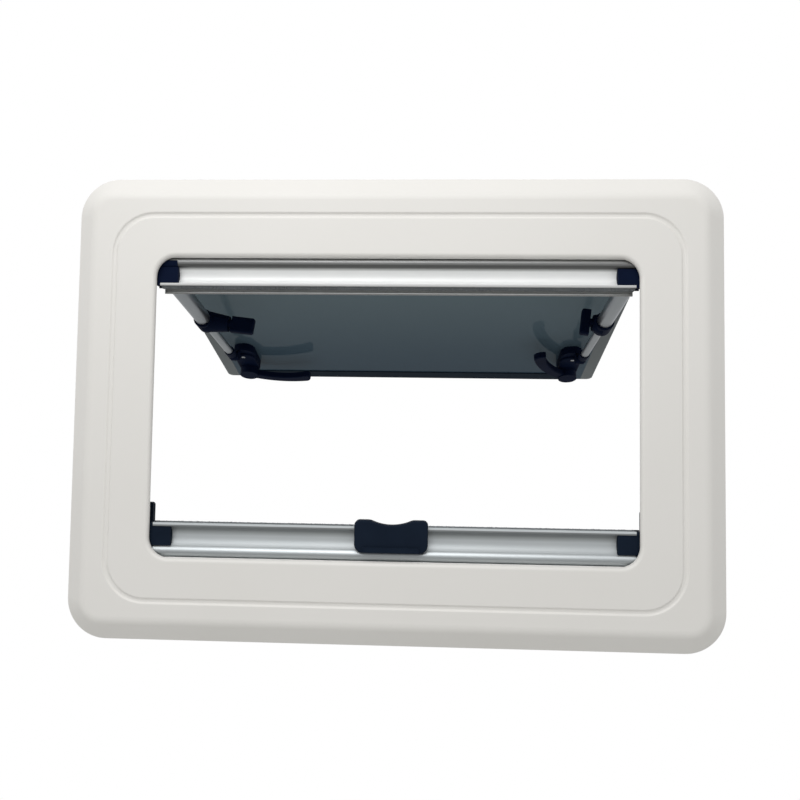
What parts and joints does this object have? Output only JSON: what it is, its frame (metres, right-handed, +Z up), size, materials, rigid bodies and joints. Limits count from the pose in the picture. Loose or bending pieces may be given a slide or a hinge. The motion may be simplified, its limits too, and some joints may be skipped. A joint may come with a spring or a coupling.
{
  "type": "caravan window",
  "caption": "Top-hung caravan window: tinted double pane propped open on telescoping stays, pale indoor trim with blind and fly-screen bars, outdoor clamp frame.",
  "frame": {"origin": "middle of the clear opening, on the back of the indoor trim where it lies on the wall's inner surface", "axes": "+Y points outdoors, +Z up, +X to the right as seen from indoors"},
  "size_m": [0.68, 0.4344, 0.4876],
  "materials": {
    "trim": "satin moulded plastic",
    "frame": "fine-textured moulded frame",
    "seal": "matt rubber",
    "aluminium": "anodised profile",
    "bar": "satin anodised profile",
    "tube": "satin drawn tube",
    "black": "satin moulded plastic",
    "guide": "extruded plastic",
    "roller": "wound cloth",
    "pane": "polished grey tinted acrylic"
  },
  "bodies": {
    "frame": {"interior_trim": "trim", "outer_frame": "frame", "outer_seal": "seal", "hinge_rail": "aluminium", "fly_screen_roller": "roller", "blind_roller": "roller", "fly_screen_bar": "bar", "blind_bar": "bar", "blind_catch": "black", "left_guide_rail": "guide", "left_fly_bar_end": "black", "left_blind_bar_end": "black", "left_latch_keeper": "black", "left_stay_anchor": "black", "right_guide_rail": "guide", "right_fly_bar_end": "black", "right_blind_bar_end": "black", "right_latch_keeper": "black", "right_stay_anchor": "black"},
    "sash": {"pane_inner_sheet": "pane", "pane_outer_sheet": "pane", "sash_hinge_profile": "aluminium", "sash_edge_strip": "black", "left_latch_base": "black", "right_latch_base": "black"},
    "left_lever": {"left_latch_lever": "black"},
    "left_rod": {"left_stay_rod": "tube", "left_rod_end": "black"},
    "left_tube": {"left_stay_tube": "tube", "left_tube_end": "black", "left_clamp_collar": "black"},
    "left_knob": {"left_clamp_knob": "black"},
    "right_lever": {"right_latch_lever": "black"},
    "right_rod": {"right_stay_rod": "tube", "right_rod_end": "black"},
    "right_tube": {"right_stay_tube": "tube", "right_tube_end": "black", "right_clamp_collar": "black"},
    "right_knob": {"right_clamp_knob": "black"}
  },
  "joints": [
    {"name": "sash_hinge", "type": "hinge", "parent": "frame", "child": "sash", "pos_m": [0, 0.05, 0.1964], "axis": [1, 0, 0], "range_deg": [-70.25, 0]},
    {"name": "left_lever_turn", "type": "hinge", "parent": "sash", "child": "left_lever", "pos_m": [-0.2402, 0.35142, 0.07118], "axis": [0, -0.3379, -0.9412], "range_deg": [0, 57]},
    {"name": "right_lever_turn", "type": "hinge", "parent": "sash", "child": "right_lever", "pos_m": [0.2402, 0.35142, 0.07118], "axis": [0, 0.3379, 0.9412], "range_deg": [-57, 0]},
    {"name": "left_rod_pivot", "type": "hinge", "parent": "sash", "child": "left_rod", "pos_m": [-0.2512, 0.29609, 0.08605], "axis": [1, 0, 0], "range_deg": [-5.33, 0]},
    {"name": "left_tube_slide", "type": "slide", "parent": "left_rod", "child": "left_tube", "axis": [0, -0.9782, 0.2075], "range_m": [-0.06494, 0]},
    {"name": "left_knob_turn", "type": "hinge", "parent": "left_tube", "child": "left_knob", "pos_m": [-0.23133, 0.15746, 0.11313], "axis": [0.9936, -0.0235, -0.1107], "range_deg": [0, 180]},
    {"name": "right_rod_pivot", "type": "hinge", "parent": "sash", "child": "right_rod", "pos_m": [0.2512, 0.29609, 0.08605], "axis": [1, 0, 0], "range_deg": [-5.33, 0]},
    {"name": "right_tube_slide", "type": "slide", "parent": "right_rod", "child": "right_tube", "axis": [0, -0.9782, 0.2075], "range_m": [-0.06494, 0]},
    {"name": "right_knob_turn", "type": "hinge", "parent": "right_tube", "child": "right_knob", "pos_m": [0.23139, 0.15851, 0.11807], "axis": [-0.9903, 0.0289, 0.1361], "range_deg": [0, 180]}
  ],
  "couplings": [
    {"joint": "left_rod_pivot", "follows": "sash_hinge", "ratio": 0.075788},
    {"joint": "left_tube_slide", "follows": "sash_hinge", "m_per_rad": 0.052955},
    {"joint": "right_rod_pivot", "follows": "sash_hinge", "ratio": 0.075788},
    {"joint": "right_tube_slide", "follows": "sash_hinge", "m_per_rad": 0.052955}
  ]
}
